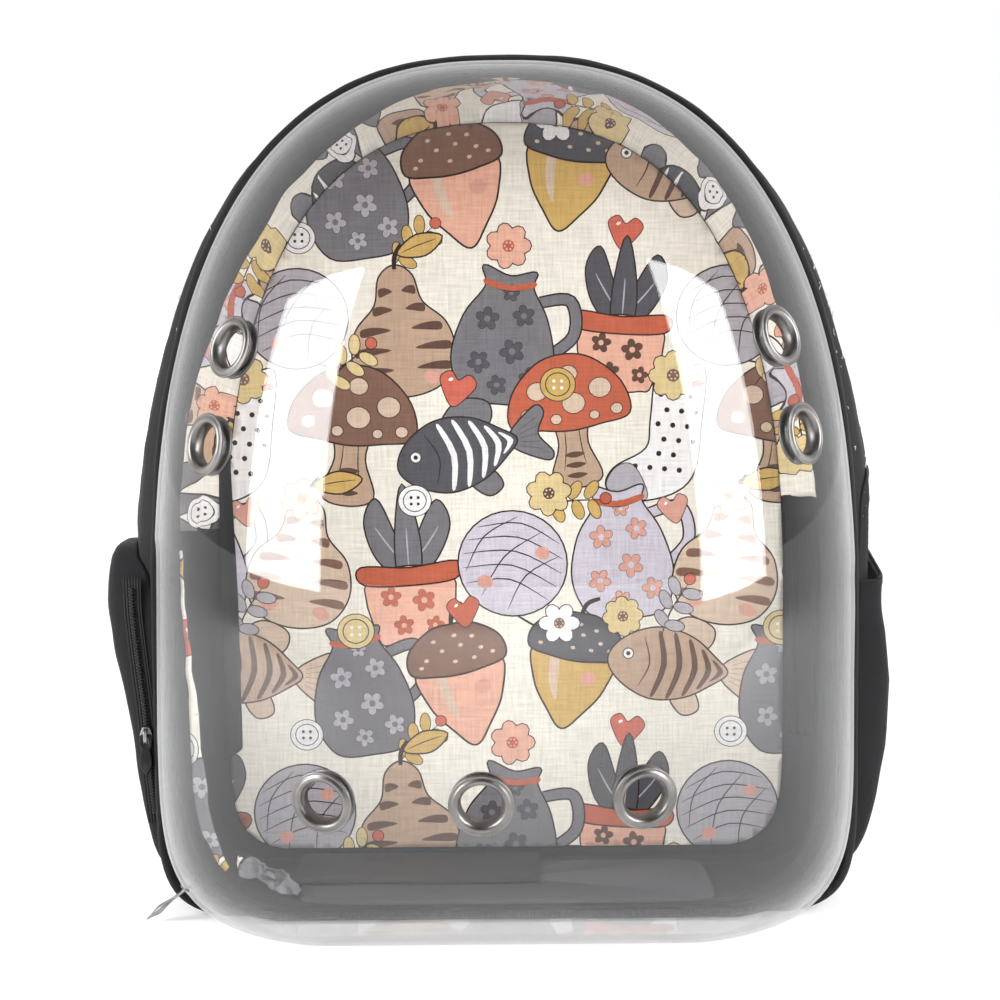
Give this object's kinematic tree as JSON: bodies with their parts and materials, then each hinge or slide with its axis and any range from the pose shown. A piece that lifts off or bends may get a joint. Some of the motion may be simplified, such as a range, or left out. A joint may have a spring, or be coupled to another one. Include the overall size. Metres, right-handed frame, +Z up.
{
  "type": "bubble pet carrier backpack",
  "caption": "Small pet carrier worn on the back: a clear vented dome zipped to a soft black tray with printed lining, side pockets and shoulder straps.",
  "frame": {"origin": "middle of the tray's flat foot, on the ground", "axes": "+Z up, -Y towards the dome's nose, +Y towards the shoulder straps, +X to the right seen from the dome"},
  "size_m": [0.3957, 0.3273, 0.4263],
  "materials": {
    "clear_plastic": "clear glossy moulded plastic",
    "vent_metal": "polished dark nickel",
    "zip_metal": "satin grey",
    "black_cloth": "woven nylon",
    "black_tape": "ribbed tape and webbing",
    "printed_cloth": "printed cotton weave",
    "floor_cloth": "dark woven mat",
    "black_mesh": "open netting",
    "black_plastic": "moulded"
  },
  "bodies": {
    "bag": {"bubble_shell": "clear_plastic", "main_zip_tape": "black_tape", "main_zip_coil": "black_tape", "rear_tray": "black_cloth", "side_window_mesh": "black_mesh", "front_piping": "black_tape", "back_lining": "printed_cloth", "side_lining": "printed_cloth", "floor_mat": "floor_cloth", "left_zip_pocket": "black_cloth", "right_open_pocket": "black_cloth", "left_pocket_zip": "black_tape", "main_zip_slider": "zip_metal", "left_pocket_slider": "zip_metal", "back_pad": "black_cloth", "left_shoulder_strap": "black_cloth", "left_adjuster": "black_plastic", "left_webbing": "black_tape", "left_strap_anchor": "black_cloth", "right_shoulder_strap": "black_cloth", "right_adjuster": "black_plastic", "right_webbing": "black_tape", "right_strap_anchor": "black_cloth", "grab_handle": "black_tape", "vent_front_left": "vent_metal", "vent_front_middle": "vent_metal", "vent_front_right": "vent_metal", "vent_side_left_upper": "vent_metal", "vent_side_left_lower": "vent_metal", "vent_side_right_upper": "vent_metal", "vent_side_right_lower": "vent_metal"},
    "main_pull": {"main_zip_pull": "zip_metal"},
    "pocket_pull": {"left_pocket_pull": "zip_metal"}
  },
  "joints": [
    {"name": "main_pull_hinge", "type": "hinge", "parent": "bag", "child": "main_pull", "pos_m": [-0.15926, -0.0562, 0.01726], "axis": [0, 1, 0], "range_deg": [-60, 95]},
    {"name": "pocket_pull_hinge", "type": "hinge", "parent": "bag", "child": "pocket_pull", "pos_m": [-0.1798, -0.0477, 0.092], "axis": [-1, 0, 0], "range_deg": [0, 165]}
  ]
}
